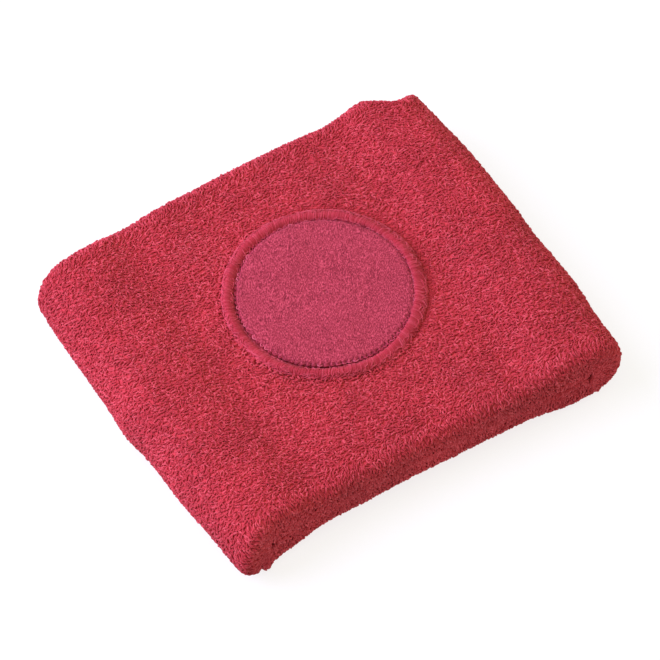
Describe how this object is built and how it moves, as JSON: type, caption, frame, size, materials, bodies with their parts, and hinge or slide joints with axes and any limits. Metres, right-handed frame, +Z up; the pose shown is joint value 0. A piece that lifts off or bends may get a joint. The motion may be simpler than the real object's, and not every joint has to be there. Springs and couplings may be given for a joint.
{
  "type": "sweat wristband",
  "caption": "Terry-cloth sweat wristband, a double-walled elastic tube lying flat, with a round print patch in a raised border.",
  "frame": {"origin": "centre of the band's footprint, on the surface it lies on", "axes": "+X across the flattened band from fold to fold, +Y along the tube that the wrist goes through, +Z up through the patch"},
  "size_m": [0.088, 0.074, 0.015],
  "materials": {
    "terry": "looped cotton terry",
    "ground": "ribbed stretch knit",
    "elastic": "covered rubber yarn",
    "seam_thread": "overlocked thread",
    "film": "fusible film",
    "felt": "fine brushed felt",
    "filler_cord": "spun cotton cord",
    "border_thread": "wound rayon thread",
    "stitch_thread": "twisted polyester thread"
  },
  "bodies": {
    "root": {"terry_pile": "terry", "ground_knit": "ground", "outer_elastic_yarns": "elastic", "inner_elastic_yarns": "elastic", "closing_seam_thread": "seam_thread", "patch_backing_film": "film", "print_patch": "felt", "border_cord": "filler_cord", "border_wrap": "border_thread", "patch_edge_stitches": "stitch_thread", "bobbin_thread": "stitch_thread"}
  },
  "joints": []
}
